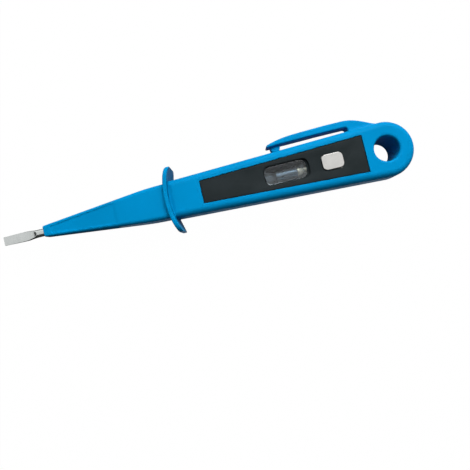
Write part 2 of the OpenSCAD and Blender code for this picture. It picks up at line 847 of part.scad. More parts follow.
module lamp_front_cap() {
    color("silver")
        difference() {
            rod_x(lamp_end_x - lamp_front_cap_l, lamp_front_cap_l, cap_d);
            rod_x(
                lamp_end_x - lamp_front_cap_l - over,
                lamp_front_cap_l + over - cap_wall,
                lamp_d + 2 * mould_gap
            );
        }
}

module resistor_rod() {
    color("tan")
        rod_x(resistor_x + cap_wall + mould_gap, resistor_l - 2 * cap_wall - 2 * mould_gap, resistor_d);
}

module resistor_rear_cap() {
    color("silver")
        difference() {
            rod_x(resistor_x, resistor_cap_l, resistor_cap_d);
            rod_x(resistor_x + cap_wall, resistor_cap_l, resistor_d + 2 * mould_gap);
        }
}

module resistor_front_cap() {
    color("silver")
        difference() {
            rod_x(resistor_end_x - resistor_cap_l, resistor_cap_l, resistor_cap_d);
            rod_x(
                resistor_end_x - resistor_cap_l - over,
                resistor_cap_l + over - cap_wall,
                resistor_d + 2 * mould_gap
            );
        }
}

// What grinding takes off one face of the blade, hollow from the shank to the tip
module ground_off() {
    translate([0, blade_w, axis_z])
        rotate([90, 0, 0])
            linear_extrude(height = 2 * blade_w)
                polygon(concat(
                    [for (k = [0:grind_steps]) let (s = k / grind_steps) [
                        forge_x + face_l * s,
                        lerp(tip_t, shank_d, pow(1 - s, 2)) / 2
                    ]],
                    [[blade_tip_x + over, tip_t / 2], [blade_tip_x + over, blade_w], [forge_x, blade_w]]
                ));
}

// What trims one edge of the flat from its widest place to the tip
module trimmed_off() {
    translate([0, 0, axis_z - blade_w])
        linear_extrude(height = 2 * blade_w)
            polygon([
                [widest_x, blade_w / 2], [blade_tip_x, tip_w / 2],
                [blade_tip_x + over, tip_w / 2], [blade_tip_x + over, blade_w], [widest_x, blade_w]
            ]);
}

module blade() {
    swell = [for (k = [0:swell_steps]) [
        lerp(shank_d, blade_w, (1 - cos(180 * k / swell_steps)) / 2) / 2,
        lerp(forge_x, widest_x, k / swell_steps)
    ]];
    color("gainsboro") {
        difference() {
            translate([0, 0, axis_z])
                rotate([0, 90, 0])
                    rotate_extrude($fn = 72)
                        polygon(concat(
                            [
                                [0, head_x - stub_l], [stub_d / 2, head_x - stub_l], [stub_d / 2, head_x],
                                [head_d / 2, head_x], [head_d / 2, front_bore_end],
                                [shank_d / 2, front_bore_end]
                            ],
                            swell,
                            [[blade_w / 2, blade_tip_x], [0, blade_tip_x]]
                        ));
            ground_off();
            translate([0, 0, 2 * axis_z])
                rotate([180, 0, 0])
                    ground_off();
            trimmed_off();
            mirror([0, 1, 0])
                trimmed_off();
        }
        translate([anchor_x, -anchor_w / 2, axis_z - anchor_t / 2])
            cube([anchor_l, anchor_w, anchor_t]);
    }
}

housing();
pocket_clip();
cover_plate();
window_lens();
contact_button();
button_spring();
contact_strip();
lamp_glass();
lamp_electrodes();
lamp_rear_cap();
lamp_front_cap();
lamp_cradle();
resistor_rod();
resistor_rear_cap();
resistor_front_cap();
contact_spring();
blade();
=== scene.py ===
"""Looks of the pocket voltage tester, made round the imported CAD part.

Shapes are worked out in millimetres in the row's frame and written to meshes in metres.
A moulded piece is a field: negative inside, positive outside, zero on its skin."""
import json
import math

import bmesh
import bpy
import numpy as np
from mathutils import Euler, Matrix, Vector
from mathutils.geometry import tessellate_polygon


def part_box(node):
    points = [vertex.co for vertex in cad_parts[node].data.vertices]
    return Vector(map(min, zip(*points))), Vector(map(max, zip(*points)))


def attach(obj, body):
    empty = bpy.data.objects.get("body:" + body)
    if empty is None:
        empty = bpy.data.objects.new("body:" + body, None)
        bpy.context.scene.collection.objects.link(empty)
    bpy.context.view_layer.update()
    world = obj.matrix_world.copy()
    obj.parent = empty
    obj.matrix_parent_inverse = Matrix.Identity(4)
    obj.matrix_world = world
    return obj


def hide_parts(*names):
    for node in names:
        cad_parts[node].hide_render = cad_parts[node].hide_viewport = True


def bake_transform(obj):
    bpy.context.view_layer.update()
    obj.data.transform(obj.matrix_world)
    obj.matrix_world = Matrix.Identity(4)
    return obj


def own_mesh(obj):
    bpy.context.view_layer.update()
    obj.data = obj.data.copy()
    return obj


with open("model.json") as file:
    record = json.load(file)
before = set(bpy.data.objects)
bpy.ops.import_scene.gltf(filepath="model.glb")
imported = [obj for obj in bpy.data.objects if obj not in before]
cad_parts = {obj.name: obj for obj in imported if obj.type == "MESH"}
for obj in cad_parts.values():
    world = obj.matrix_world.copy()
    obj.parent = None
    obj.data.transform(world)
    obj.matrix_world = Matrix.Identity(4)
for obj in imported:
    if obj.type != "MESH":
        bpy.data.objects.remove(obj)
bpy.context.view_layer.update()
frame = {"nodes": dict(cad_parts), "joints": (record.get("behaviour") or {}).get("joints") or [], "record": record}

MM = 0.001


def box_mm(node):
    """Lowest and highest corner of a CAD node, in millimetres."""
    low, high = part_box(node)
    return np.array(low) / MM, np.array(high) / MM


# Places that come from the frame
housing_low, housing_high = box_mm("housing")
cover_low, cover_high = box_mm("cover_plate")
lens_low, lens_high = box_mm("window_lens")
button_low, button_high = box_mm("contact_button")
clip_low, clip_high = box_mm("pocket_clip")
blade_low, blade_high = box_mm("blade")
glass_low, glass_high = box_mm("lamp_glass")
rear_cap_low, rear_cap_high = box_mm("lamp_rear_cap")
front_cap_low, front_cap_high = box_mm("lamp_front_cap")
resistor_low, resistor_high = box_mm("resistor_rear_cap")
button_spring_low, button_spring_high = box_mm("button_spring")
contact_spring_low, contact_spring_high = box_mm("contact_spring")
electrode_high = box_mm("lamp_electrodes")[1]
mounts = {m["name"]: m for m in frame["record"]["mounts"]}
joints = {j["name"]: j for j in frame["joints"]}

axis_z = (glass_low[2] + glass_high[2]) / 2
handle_t = 2 * axis_z
ring_r = -housing_low[0]
hole_r = mounts["hang_hole"]["dims"]["r_mm"]
guard_half = housing_high[1]
guard_h = housing_high[2]
sleeve_end = housing_high[0]
clip_root_x = joints["clip_flex"]["pos_m"][0] / MM
clip_mid = -joints["clip_flex"]["pos_m"][1] / MM

# Sizes that every piece shares: the least rounding of an edge, the least corner of an outline, and the
# radius at which a turned shape is closed on its axis
fine_edge = 0.05
least_r = 0.1
axis_r = 0.05
sharp_angle = 40

# Handle
guard_x = 75.7
handle_end_w = 13.5
face_round = 2.3
belly = (2.8, 5.2)
hole_round = 0.8
floor_t = 1.8

# Guard
guard_t = 1.5
guard_bow = 2.3
guard_corner = 3.8
guard_edge = 0.35
guard_fillet = 0.3
guard_mid_share = 0.82
guard_mid_x = guard_x + guard_bow * guard_mid_share

# Sleeve
sleeve_root = (12.4, 11.6)
sleeve_tip = (4, 5.2)
sleeve_round = 1.5
sleeve_chamfer = 0.35
sleeve_ease = 0.26
sleeve_tip_round_share = 0.45
sleeve_belly_share = 0.8
tip_belly_shares = (0.2, 0.4)
panel_l = 24.4
panel_depth = 0.2
panel_margin = 1.1
panel_end_gap = 2.9

# Cover, chamber and front bore
cover_guard_half = 3.9
cover_gap = 0.16
cover_edge = 0.12
ledge_w = 0.7
cover_under = 11.15
rim_round = 0.14
rib_t = 0.8
seat_gap = 0.05
bore_r = 2.15
bore_overlap = 1
bore_reach = 0.8
shank_r = 1.4
shank_gap = 0.03
anchor_x, anchor_l, anchor_w, anchor_t = 90.31, 4, 4.4, 1.2

# Window and lens
window_r = 2.3
lens_gap = 0.28
lens_end_gap = 1.1
lens_flange_w = 0.45
lens_flange_t = 0.7
lens_edge = 0.15
lens_sag = 0.3
lip_levels = [(0, cover_under + 0.02), (0, cover_under + 0.2)]

# Button. The crown is a table of (inset, drop under the top)
button_r = 1.7
button_gap = 0.14
head_round = 0.3
head_crown = [(0.9, 0.03), (1.6, 0.01), (2.4, 0)]
head_crown_drop = 0.06
flange_w = 0.5
flange_t = 0.6
flange_chamfer = 0.08
stem_r = 1.3
stem_chamfer = 0.2
stem_overlap = 0.2

# Clip. The arm's table holds (place along it, outer edge, inner edge) as shares of its length and thickness
clip_l = 26.4
clip_t = 2.5
clip_gap = 2.2
clip_h = 4.6
clip_edge = 0.5
slot_x = 10.3
nub_r = 1.8
nub_gap = 0.4
nub_drop = 1.4
nub_round = 0.3
nub_share = 0.87
root_fillet, arm_fillet = 1.2, 0.02
root_run = 2.2
root_start_share = 0.95
root_bend_shares = (0.28, 0.55)
root_out_share = 0.66
arm_shares = [
    (0, 0, 0), (0.2, 0.02, -0.02), (0.4, 0.1, -0.06), (0.55, 0.16, -0.1), (0.68, 0.25, -0.13),
    (0.79, 0.4, -0.16), (0.88, 0.6, -0.2), (0.94, 0.77, -0.24), (0.98, 0.92, -0.25), (1, 1.08, -0.18),
]


def lerp(a, b, t):
    return a + (b - a) * t


def smooth_curve(xs, ys, x):
    """A curve without corners through the points (xs, ys), at x."""
    xs, ys = np.asarray(xs, float), np.asarray(ys, float)
    slopes = np.gradient(ys, xs)
    i = np.clip(np.searchsorted(xs, x) - 1, 0, len(xs) - 2)
    span = xs[i + 1] - xs[i]
    t = np.clip((x - xs[i]) / span, 0, 1)
    rise = ys[i + 1] - ys[i]
    a = slopes[i] * span - rise
    b = rise - slopes[i + 1] * span
    return ys[i] + t * rise + t * (1 - t) * ((1 - t) * a + t * b)


# Ways to join fields

def both(a, b, r):
    """Inside both fields, with the edge between them rounded to radius r."""
    outside = np.hypot(np.maximum(a + r, 0), np.maximum(b + r, 0))
    return np.minimum(np.maximum(a, b) + r, 0) + outside - r


def either(a, b, fillet):
    """Inside either field, with a fillet between them."""
    near = np.maximum(fillet - np.abs(a - b), 0)
    return np.minimum(a, b) - near * near / 4 / fillet


def belly_edge(side, under, width, height):
    """Inside two planes whose edge is swept in along a quarter of an ellipse."""
    u = np.maximum(side + width, 0) / width
    v = np.maximum(under + height, 0) / height
    reach = np.hypot(u, v)
    steep = np.hypot(u / width, v / height)
    return np.where(steep > 1e-9, reach * (reach - 1) / np.maximum(steep, 1e-9), np.maximum(side, under))


def bar(side, over, under, edge, swept):
    """A bar with rounded upper edges and swept-in lower ones."""
    return np.maximum(both(side, over, edge), belly_edge(side, under, *swept))


def round_box(x, y, half_x, half_y, r):
    """A rectangle with round corners, as a field in a plane."""
    u, v = np.abs(x) - half_x + r, np.abs(y) - half_y + r
    return np.minimum(np.maximum(u, v), 0) + np.hypot(np.maximum(u, 0), np.maximum(v, 0)) - r


# The moulded body, piece by piece

slope = math.asin((ring_r - handle_end_w / 2) / guard_x)


def handle_half(x):
    return (ring_r - x * math.sin(slope)) / math.cos(slope)


def cover_half(x):
    return lerp(cover_high[1], cover_guard_half, (x - cover_low[0]) / (cover_high[0] - cover_low[0]))


def handle(x, y, z):
    flank = x * math.sin(slope) + np.abs(y) * math.cos(slope) - ring_r
    before_flank = x * math.cos(slope) - np.abs(y) * math.sin(slope) < 0
    side = np.where(before_flank, np.hypot(x, y) - ring_r, flank)
    side = np.maximum(side, x - guard_mid_x)
    return bar(side, z - handle_t, -z, face_round, belly)


def guard(x, y, z):
    bow_r = (guard_half ** 2 + guard_bow ** 2) / 2 / guard_bow
    from_axis = np.hypot(x - (guard_x + guard_bow - bow_r), y)
    plate = np.abs(from_axis - bow_r) - guard_t / 2
    outline = round_box(y, z - guard_h / 2, guard_half, guard_h / 2, guard_corner)
    return np.maximum(both(plate, outline, guard_edge), guard_x - 2 * guard_t - x)


def sleeve_sides(x, y, z):
    """Fields of the sleeve's flanks, its top and its underside, and how far its taper has come."""
    start = guard_mid_x - guard_t / 4
    t = np.clip((x - start) / (sleeve_end - start), 0, 1)
    taper = np.where(t < sleeve_ease, t * t / 2 / sleeve_ease, t - sleeve_ease / 2) / (1 - sleeve_ease / 2)
    half_w = lerp(sleeve_root[0], sleeve_tip[0], taper) / 2
    half_h = lerp(sleeve_root[1], sleeve_tip[1], taper) / 2
    return np.abs(y) - half_w, z - axis_z - half_h, axis_z - half_h - z, taper


def sleeve(x, y, z):
    side, over, under, taper = sleeve_sides(x, y, z)
    edge = lerp(sleeve_round, sleeve_round * sleeve_tip_round_share, taper)
    swept = [
        lerp(root, tip * share, taper) * sleeve_belly_share
        for root, tip, share in zip(belly, sleeve_tip, tip_belly_shares)
    ]
    shape = bar(side, over, under, edge, swept)
    return np.maximum(both(shape, x - sleeve_end, sleeve_chamfer), guard_x - x)


def panel(x, y, z):
    """The shallow panel along the top of the sleeve."""
    side, over, under, taper = sleeve_sides(x, y, z)
    end = sleeve_end - panel_end_gap
    outline = np.maximum(side + panel_margin, np.abs(x - end + panel_l / 2) - panel_l / 2)
    return both(outline, -over - panel_depth, fine_edge)


clip_in = clip_mid - clip_t / 2
clip_out = clip_mid + clip_t / 2
root_curve = np.array([
    (-ring_r / 3, -root_start_share * math.sqrt(ring_r ** 2 - ring_r ** 2 / 9)),
    (ring_r * root_bend_shares[0], -ring_r - clip_gap * root_bend_shares[1]),
    (ring_r * root_out_share, -clip_out),
    (clip_root_x - root_run, -clip_out),
])


def root_point(t):
    """A point of the clip's root at t, on the cubic curve that root_curve steers."""
    weights = ((1 - t) ** 3, 3 * (1 - t) ** 2 * t, 3 * (1 - t) * t * t, t ** 3)
    return tuple(sum(c * p for c, p in zip(weights, root_curve)))


clip_outer = [root_point(t) for t in np.linspace(0, 1, 12)]
clip_outer += [(clip_root_x + clip_l * s, clip_t * a - clip_out) for s, a, b in arm_shares]
clip_inner = [(clip_root_x + clip_l * s, -clip_in - clip_t * b) for s, a, b in arm_shares]
nub_x = clip_root_x + clip_l * nub_share
nub_y = -(handle_half(nub_x) + nub_gap + nub_r)


def clip(x, y, z):
    """The clip's root and its arm, in one piece."""
    outer = smooth_curve(*zip(*clip_outer), x)
    inner = smooth_curve(*zip(*clip_inner), x)
    slot_r = clip_gap / 2
    core = np.where(x < slot_x + slot_r, -ring_r / 2, inner)
    shape = both(outer - y, y - core, fine_edge)
    shape = both(shape, x - clip_high[0], clip_edge)
    shape = np.maximum(shape, slot_r - np.hypot(x - slot_x - slot_r, y + clip_in - slot_r))
    shape = both(np.maximum(shape, root_curve[0][0] - x), np.abs(z - axis_z) - clip_h / 2, clip_edge)
    nub = np.hypot(x - nub_x, y - nub_y) - nub_r
    nub_top = z - axis_z - clip_h / 2 + nub_drop
    nub_foot = axis_z - clip_h / 2 + clip_edge / 2 - z
    return either(shape, both(nub, np.maximum(nub_top, nub_foot), nub_round), nub_round)


def wedge(x, y, start, end, half):
    """A long outline whose half width changes along it, as a field in a plane."""
    return np.maximum(np.abs(x - (start + end) / 2) - (end - start) / 2, np.abs(y) - half)


def anchor_wings(x, y, z, gap):
    """The blade's wings, moulded into the sleeve, grown by gap."""
    thick = np.maximum(np.abs(y) - anchor_w / 2, np.abs(z - axis_z) - anchor_t / 2)
    return np.maximum(np.abs(x - anchor_x - anchor_l / 2) - anchor_l / 2, thick) - gap


def body(x, y, z):
    """The handle, guard, sleeve and clip, with all that is cut in them."""
    shape = either(handle(x, y, z), guard(x, y, z), guard_fillet)
    shape = either(shape, sleeve(x, y, z), guard_fillet)
    joined = np.where(x < slot_x, root_fillet, arm_fillet)
    shape = either(shape, clip(x, y, z), joined)
    from_axis = np.hypot(y, z - axis_z)
    shape = both(shape, hole_r - np.hypot(x, y), hole_round)
    recess = wedge(x, y, cover_low[0] - cover_gap, cover_high[0] + cover_gap, cover_half(x) + cover_gap)
    shape = both(shape, -np.maximum(recess, cover_under - z), rim_round)
    chamber_start, chamber_end = cover_low[0] + ledge_w, cover_high[0] - ledge_w
    chamber = np.maximum(wedge(x, y, chamber_start, chamber_end, cover_half(x) - ledge_w), floor_t - z)
    shape = np.maximum(shape, -np.maximum(chamber, z - handle_t))
    wide_ends = np.maximum(chamber_end - bore_overlap - x, x - blade_low[0] - bore_reach)
    wide = np.maximum(from_axis - bore_r, wide_ends)
    narrow = np.maximum(from_axis - shank_r - shank_gap, chamber_end - x)
    shape = np.maximum(shape, -np.minimum(wide, narrow))
    shape = np.maximum(shape, -panel(x, y, z))
    shape = np.maximum(shape, -anchor_wings(x, y, z, shank_gap))
    side = np.abs(y) - cover_half(x) + ledge_w / 2
    for middle in resistor_seats:
        rib = np.maximum(np.abs(x - middle) - rib_t / 2, side)
        rib = np.maximum(rib, np.maximum(z - axis_z, floor_t / 2 - z))
        shape = np.minimum(shape, np.maximum(rib, resistor_seat_r - from_axis))
    stop = np.maximum(np.abs(x - button_mid) - button_l / 2, np.maximum(side, button_w / 2 - np.abs(y)))
    return np.minimum(shape, np.maximum(stop, np.maximum(z - stop_z, floor_t / 2 - z)))


resistor_seat_r = (resistor_high[2] - resistor_low[2]) / 2 + seat_gap
resistor_cap_half = (resistor_high[0] - resistor_low[0]) / 2
resistor_seats = (resistor_low[0] + resistor_cap_half, contact_spring_low[0] - resistor_cap_half)
button_mid = (button_low[0] + button_high[0]) / 2
button_l = button_high[0] - button_low[0] - 2 * flange_w
button_w = button_high[1] - button_low[1] - 2 * flange_w
button_travel = joints["button_press"]["range_m"][1] / MM
stop_z = cover_under - flange_t - button_travel - 2 * seat_gap


# Skins of fields, as meshes

def steps(*stretches):
    """Places along an axis: stretches of (end, spacing) from the first number on."""
    places = [stretches[0]]
    for end, spacing in stretches[1:]:
        count = max(1, round((end - places[-1]) / spacing))
        places += list(np.linspace(places[-1], end, count + 1)[1:])
    return np.array(places)


def field_slope(field, p):
    """The direction in which a field grows, at the points p."""
    step, least = 1e-4, 1e-12
    here = field(*p.T)
    ahead = [field(*(p + step * np.eye(3)[k]).T) for k in range(3)]
    n = np.stack([a - here for a in ahead], 1)
    return n / np.maximum(np.linalg.norm(n, axis=1, keepdims=True), least)


# How much a cell's point is held to the middle of its crossings
corner_hold = 0.04


def skin(field, xs, ys, zs):
    """Points and four-sided faces on a field's zero level, with its edges kept sharp.

    Each cell that the skin passes through gets one point, where the planes at its crossings meet."""
    axes = (xs, ys, zs)
    value = field(*np.meshgrid(xs, ys, zs, indexing="ij", sparse=True))
    cells = np.array(value.shape)
    crossings, slopes, rounds, outward = [], [], [], []
    for d in range(3):
        low, high = [slice(None)] * 3, [slice(None)] * 3
        low[d], high[d] = slice(0, -1), slice(1, None)
        a, b = value[tuple(low)], value[tuple(high)]
        at = np.argwhere((a < 0) != (b < 0))
        va, vb = a[tuple(at.T)], b[tuple(at.T)]
        p = np.stack([axes[k][at[:, k]] for k in range(3)], 1)
        p[:, d] += va / (va - vb) * (axes[d][at[:, d] + 1] - axes[d][at[:, d]])
        crossings.append(p)
        slopes.append(field_slope(field, p))
        u, v = (d + 1) % 3, (d + 2) % 3
        around = []
        for du, dv in ((-1, -1), (0, -1), (0, 0), (-1, 0)):
            cell = at.copy()
            cell[:, u] += du
            cell[:, v] += dv
            around.append(np.ravel_multi_index(cell.T, cells))
        rounds.append(np.stack(around, 1))
        outward.append(va < 0)
    crossings, slopes = np.concatenate(crossings), np.concatenate(slopes)
    rounds, outward = np.concatenate(rounds), np.concatenate(outward)
    ids, face = np.unique(rounds, return_inverse=True)
    face = face.reshape(rounds.shape)
    owner = face.ravel()
    p, n = np.repeat(crossings, 4, 0), np.repeat(slopes, 4, 0)
    total = np.bincount(owner, minlength=len(ids))
    middle = np.stack([np.bincount(owner, p[:, k]) / total for k in range(3)], 1)
    off = (n * (p - middle[owner])).sum(1)
    matrix = np.zeros((len(ids), 3, 3))
    right = np.zeros((len(ids), 3))
    for i in range(3):
        right[:, i] = np.bincount(owner, n[:, i] * off)
        for j in range(3):
            matrix[:, i, j] = np.bincount(owner, n[:, i] * n[:, j])
    matrix += corner_hold * total[:, None, None] * np.eye(3)
    shift = np.linalg.solve(matrix, right[..., None])[..., 0]
    corner = np.stack(np.unravel_index(ids, cells), 1)
    for k in range(3):
        place = middle[:, k] + shift[:, k]
        middle[:, k] = np.clip(place, axes[k][corner[:, k]], axes[k][corner[:, k] + 1])
    face[~outward] = face[~outward][:, ::-1]
    return middle, face


# Meshes and objects

def add_piece(name, points, faces, material, slot, rides, replaced=(), sharp=sharp_angle):
    """A piece of the part from points in millimetres."""
    mesh = bpy.data.meshes.new(name)
    mesh.from_pydata((np.asarray(points) * MM).tolist(), [], [list(map(int, f)) for f in faces])
    mesh.validate()
    mesh.shade_smooth()
    mesh.set_sharp_from_angle(angle=math.radians(sharp))
    mesh.materials.append(material)
    piece = bpy.data.objects.new(name, mesh)
    bpy.context.scene.collection.objects.link(piece)
    if rides:
        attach(piece, rides)
    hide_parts(*replaced)
    return piece


def join(*shapes):
    """Several closed shapes as one set of points and faces."""
    points, faces, count = [], [], 0
    for p, f in shapes:
        points += [tuple(q) for q in p]
        faces += [[i + count for i in face] for face in f]
        count += len(p)
    return points, faces


def loft(rings):
    """A closed skin over rings of equally many points, counter-clockwise seen from the last one."""
    n = len(rings[0])
    points = [tuple(p) for ring in rings for p in ring]
    faces = [list(range(n))[::-1], [(len(rings) - 1) * n + i for i in range(n)]]
    for j in range(len(rings) - 1):
        for i in range(n):
            k = (i + 1) % n
            faces.append([j * n + i, j * n + k, (j + 1) * n + k, (j + 1) * n + i])
    return points, faces


def rounded_outline(length, width, r, steps_a_corner=8):
    """A rectangle with round corners, counter-clockwise round the origin."""
    r = min(r, length / 2, width / 2)
    outline = []
    for quarter, (sx, sy) in enumerate(((1, 1), (-1, 1), (-1, -1), (1, -1))):
        for k in range(steps_a_corner + 1):
            a = math.radians(90 * quarter + 90 * k / steps_a_corner)
            outline.append((sx * (length / 2 - r) + r * math.cos(a), sy * (width / 2 - r) + r * math.sin(a)))
    return np.array(outline)


def revolve(profile, sides=48):
    """A closed skin round the part's long axis, from a profile of (x, radius)."""
    rings = []
    for x, r in profile:
        rings.append([
            (x, r * math.cos(2 * math.pi * k / sides), axis_z + r * math.sin(2 * math.pi * k / sides))
            for k in range(sides)
        ])
    return loft(rings)


def arc(cx, cy, r, start, end, count=6):
    """Points on a circle's arc, angles in degrees."""
    angles = np.radians(np.linspace(start, end, count + 1))
    return [(cx + r * math.cos(a), cy + r * math.sin(a)) for a in angles]


def plate(outer, holes, levels):
    """A plate from outlines that take an inset, and levels of (inset, z) from its underside up."""
    points, faces, loops = [], [], []
    for hole, outline in [(False, outer)] + [(True, h) for h in holes]:
        first = len(points)
        count = len(outline(0))
        for inset, z in levels:
            points += [(px, py, z) for px, py in outline(-inset if hole else inset)]
        for j in range(len(levels) - 1):
            for i in range(count):
                a, b = first + j * count + i, first + j * count + (i + 1) % count
                quad = [a, b, b + count, a + count]
                faces.append(quad[::-1] if hole else quad)
        loops.append((first, count))
    for top in (False, True):
        shift = (len(levels) - 1) if top else 0
        rings = [[first + shift * count + i for i in range(count)] for first, count in loops]
        flat = [i for ring in rings for i in ring]
        for a, b, c in tessellate_polygon([[Vector((*points[i][:2], 0)) for i in ring] for ring in rings]):
            tri = [flat[a], flat[b], flat[c]]
            (ax, ay), (bx, by), (cx, cy) = (points[i][:2] for i in tri)
            up = (bx - ax) * (cy - ay) - (by - ay) * (cx - ax) > 0
            faces.append(tri if up == top else tri[::-1])
    return points, faces


def coil(foot, along, length, outer_d, wire_d, turns, rings=16, sides=8):
    """A spring of one unbroken wire that stands on foot."""
    side = np.array((0, 1, 0)) if abs(along[0]) > 0.5 else np.array((1, 0, 0))
    other = np.cross(along, side)
    coil_r = (outer_d - wire_d) / 2
    climb = math.atan2((length - wire_d) / turns, 2 * math.pi * coil_r)
    tube = []
    for k in range(turns * rings + 1):
        a = 2 * math.pi * k / rings
        out = math.cos(a) * side + math.sin(a) * other
        ahead = -math.sin(a) * side + math.cos(a) * other
        lift = lerp(wire_d / 2, length - wire_d / 2, k / (turns * rings))
        tilt = math.cos(climb) * np.asarray(along) - math.sin(climb) * ahead
        middle = np.asarray(foot) + coil_r * out + lift * np.asarray(along)
        angles = [-2 * math.pi * s / sides for s in range(sides)]
        tube.append([middle + wire_d / 2 * (math.cos(b) * out + math.sin(b) * tilt) for b in angles])
    return loft(tube)


# Materials

def new_material(name, roughness, metallic=0.0, **sockets):
    material = bpy.data.materials.new(name)
    material.use_nodes = True
    shader = material.node_tree.nodes["Principled BSDF"]
    shader.inputs["Roughness"].default_value = roughness
    shader.inputs["Metallic"].default_value = metallic
    for socket, value in sockets.items():
        shader.inputs[socket.replace("_", " ")].default_value = value
    return material


def noise(material, size, detail=3.0, stretch=(1, 1, 1)):
    """Noise whose patches are about size millimetres, in the row's frame."""
    nodes, links = material.node_tree.nodes, material.node_tree.links
    place = nodes.new("ShaderNodeTexCoord")
    mapping = nodes.new("ShaderNodeMapping")
    mapping.inputs["Scale"].default_value = stretch
    texture = nodes.new("ShaderNodeTexNoise")
    texture.inputs["Scale"].default_value = 1 / (size * MM)
    texture.inputs["Detail"].default_value = detail
    links.new(place.outputs["Object"], mapping.inputs["Vector"])
    links.new(mapping.outputs["Vector"], texture.inputs["Vector"])
    return texture.outputs["Fac"]


def spread(material, source, low, high, from_low=0.3, from_high=0.7):
    """A value that follows source between low and high."""
    node = material.node_tree.nodes.new("ShaderNodeMapRange")
    node.inputs["From Min"].default_value = from_low
    node.inputs["From Max"].default_value = from_high
    node.inputs["To Min"].default_value = low
    node.inputs["To Max"].default_value = high
    material.node_tree.links.new(source, node.inputs["Value"])
    return node.outputs["Result"]


def colour_between(material, source, dark, light):
    node = material.node_tree.nodes.new("ShaderNodeMix")
    node.data_type = "RGBA"
    node.inputs["A"].default_value = (*dark, 1)
    node.inputs["B"].default_value = (*light, 1)
    material.node_tree.links.new(source, node.inputs["Factor"])
    shader = material.node_tree.nodes["Principled BSDF"]
    material.node_tree.links.new(node.outputs["Result"], shader.inputs["Base Color"])


def roughness_between(material, source, low, high):
    shader = material.node_tree.nodes["Principled BSDF"]
    material.node_tree.links.new(spread(material, source, low, high), shader.inputs["Roughness"])


def relief(material, source, height):
    """Relief of height millimetres from source."""
    node = material.node_tree.nodes.new("ShaderNodeBump")
    node.inputs["Distance"].default_value = height * MM
    node.inputs["Strength"].default_value = 1.0
    material.node_tree.links.new(source, node.inputs["Height"])
    shader = material.node_tree.nodes["Principled BSDF"]
    material.node_tree.links.new(node.outputs["Normal"], shader.inputs["Normal"])


def moulded(name, dark, light, patch, grain, rough, height, specular=0.5):
    """Moulded plastic: a soft cloud of shade, a fine grain and an even sheen."""
    sheen_patch = patch * 0.4
    material = new_material(name, rough[0], IOR=1.5, Specular_IOR_Level=specular)
    colour_between(material, spread(material, noise(material, patch), 0, 1), dark, light)
    roughness_between(material, noise(material, sheen_patch), *rough)
    relief(material, noise(material, grain, 2.0), height)
    return material


def polished(name, dark, light, rough, patch, stretch=(1, 1, 1), height=0.004):
    """Metal with a cloud of shade and fine marks along one direction."""
    cloud_patch, sheen_patch = patch * 6, patch * 3
    material = new_material(name, rough[0], metallic=1.0)
    colour_between(material, spread(material, noise(material, cloud_patch), 0, 1), dark, light)
    roughness_between(material, noise(material, sheen_patch, 3.0, stretch), *rough)
    relief(material, noise(material, patch, 4.0, stretch), height)
    return material


def clear(name, tint, roughness, ior, gloss):
    """Clear glass or plastic with faint unevenness in its polish. A gloss under 1 dims what it mirrors."""
    cloud_patch, sheen_patch = 6, 1.5
    cloudy = [0.96 * c for c in tint]
    dullest = roughness * 2.5
    material = new_material(
        name, roughness, Transmission_Weight=1.0, IOR=ior, Specular_Tint=(gloss, gloss, gloss, 1))
    colour_between(material, spread(material, noise(material, cloud_patch), 0, 1), cloudy, tint)
    roughness_between(material, noise(material, sheen_patch), roughness, dullest)
    return material


def nickel_with_painted_shade(name, bright, dark, reach):
    """Nickel rods, light on the -Y side and dark on the +Y side: painted shade on the rod that faces away from the
    lamps.
    """
    sheen_patch, mark_patch, mark_height = 0.8, 0.12, 0.004
    material = new_material(name, 0.4, metallic=0.6)
    nodes, links = material.node_tree.nodes, material.node_tree.links
    place = nodes.new("ShaderNodeTexCoord")
    part = nodes.new("ShaderNodeSeparateXYZ")
    links.new(place.outputs["Object"], part.inputs["Vector"])
    # Painted shade: the colour runs from light at -Y to dark at +Y across the rods.
    across = spread(material, part.outputs["Y"], 0, 1, -reach * MM, reach * MM)
    colour_between(material, across, bright, dark)
    roughness_between(material, noise(material, sheen_patch), 0.34, 0.5)
    relief(material, noise(material, mark_patch, 2.0, (0.2, 3, 3)), mark_height)
    return material


blue_plastic = moulded(
    "blue_plastic", (0.0, 0.290, 0.640), (0.0, 0.320, 0.710), 14, 0.35, (0.38, 0.48), 0.006, 0.03)
cover_plastic = moulded(
    "cover_plastic", (0.015, 0.021, 0.023), (0.022, 0.029, 0.032), 9, 0.22, (0.45, 0.58), 0.008, 0.10)
cradle_plastic = moulded(
    "cradle_plastic", (0.020, 0.026, 0.028), (0.046, 0.054, 0.057), 3, 0.22, (0.45, 0.58), 0.008, 0.2)
lens_plastic = clear("lens_plastic", (0.76, 0.87, 0.95), 0.03, 1.49, 0.75)
lamp_glass = clear("lamp_glass", (0.90, 0.93, 0.95), 0.02, 1.5, 0.4)
button_metal = polished(
    "button_metal", (0.71, 0.705, 0.685), (0.79, 0.785, 0.765), (0.12, 0.17), 0.6, height=0.0008)
spring_steel = polished("spring_steel", (0.52, 0.53, 0.55), (0.66, 0.67, 0.69), (0.22, 0.34), 0.2, (1, 1, 4))
strip_brass = polished("strip_brass", (0.66, 0.46, 0.18), (0.78, 0.57, 0.26), (0.24, 0.38), 0.3, (0.2, 3, 3))
# Electrodes with painted shade: the +Y rod is coloured dark, as if in shadow, and the -Y rod light.
electrode_nickel = nickel_with_painted_shade(
    "electrode_nickel", (0.58, 0.68, 0.76), (0.015, 0.04, 0.055), electrode_high[1] / 4)
cap_brass = polished("cap_brass", (0.10, 0.08, 0.055), (0.66, 0.54, 0.39), (0.26, 0.40), 0.2, (3, 0.5, 0.5))
cap_tin = polished("cap_tin", (0.58, 0.58, 0.57), (0.70, 0.70, 0.69), (0.26, 0.40), 0.25, (3, 0.5, 0.5))
front_cap_tin = polished(
    "front_cap_tin", (0.02, 0.035, 0.045), (0.50, 0.58, 0.64), (0.2, 0.3), 0.11, (3, 0.5, 0.5), 0.006)
